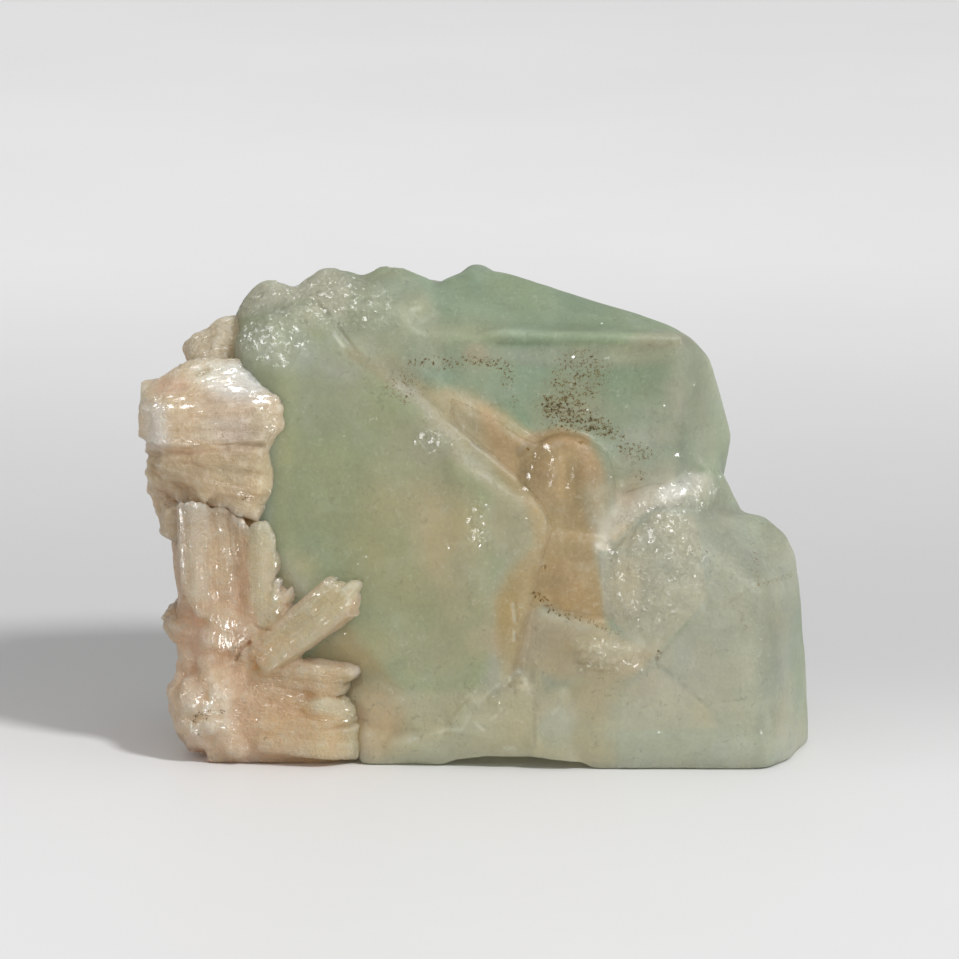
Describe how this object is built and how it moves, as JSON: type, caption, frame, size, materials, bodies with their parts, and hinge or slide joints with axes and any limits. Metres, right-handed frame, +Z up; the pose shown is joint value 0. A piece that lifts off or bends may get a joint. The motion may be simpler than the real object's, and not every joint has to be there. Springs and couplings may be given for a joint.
{
  "type": "apophyllite cluster",
  "caption": "Green-grey apophyllite crystals grown together with peach bladed stilbite sheaves, as a free-standing hand specimen with a flat foot.",
  "frame": {"origin": "middle of the cluster's box on the plane that it rests on", "axes": "+Z up, +X to the right along the cluster's length as seen from its show side, +Y away from that side"},
  "size_m": [0.0716, 0.0404, 0.0518],
  "materials": {
    "apophyllite": "translucent grey-green crystal, glassy flat faces with crinkled broken patches",
    "stilbite_pearly": "pale peach plates with a pearly sheen on the broad face",
    "stilbite_peach": "translucent peach blades with fine lengthwise ribs, granular foot",
    "stilbite_amber": "waxy amber-peach crystal with a pearly plate"
  },
  "bodies": {
    "root": {"apophyllite_crystals": "apophyllite", "stilbite_sheaf": "stilbite_pearly", "stilbite_rosette": "stilbite_peach", "stilbite_centre": "stilbite_amber"}
  },
  "joints": []
}
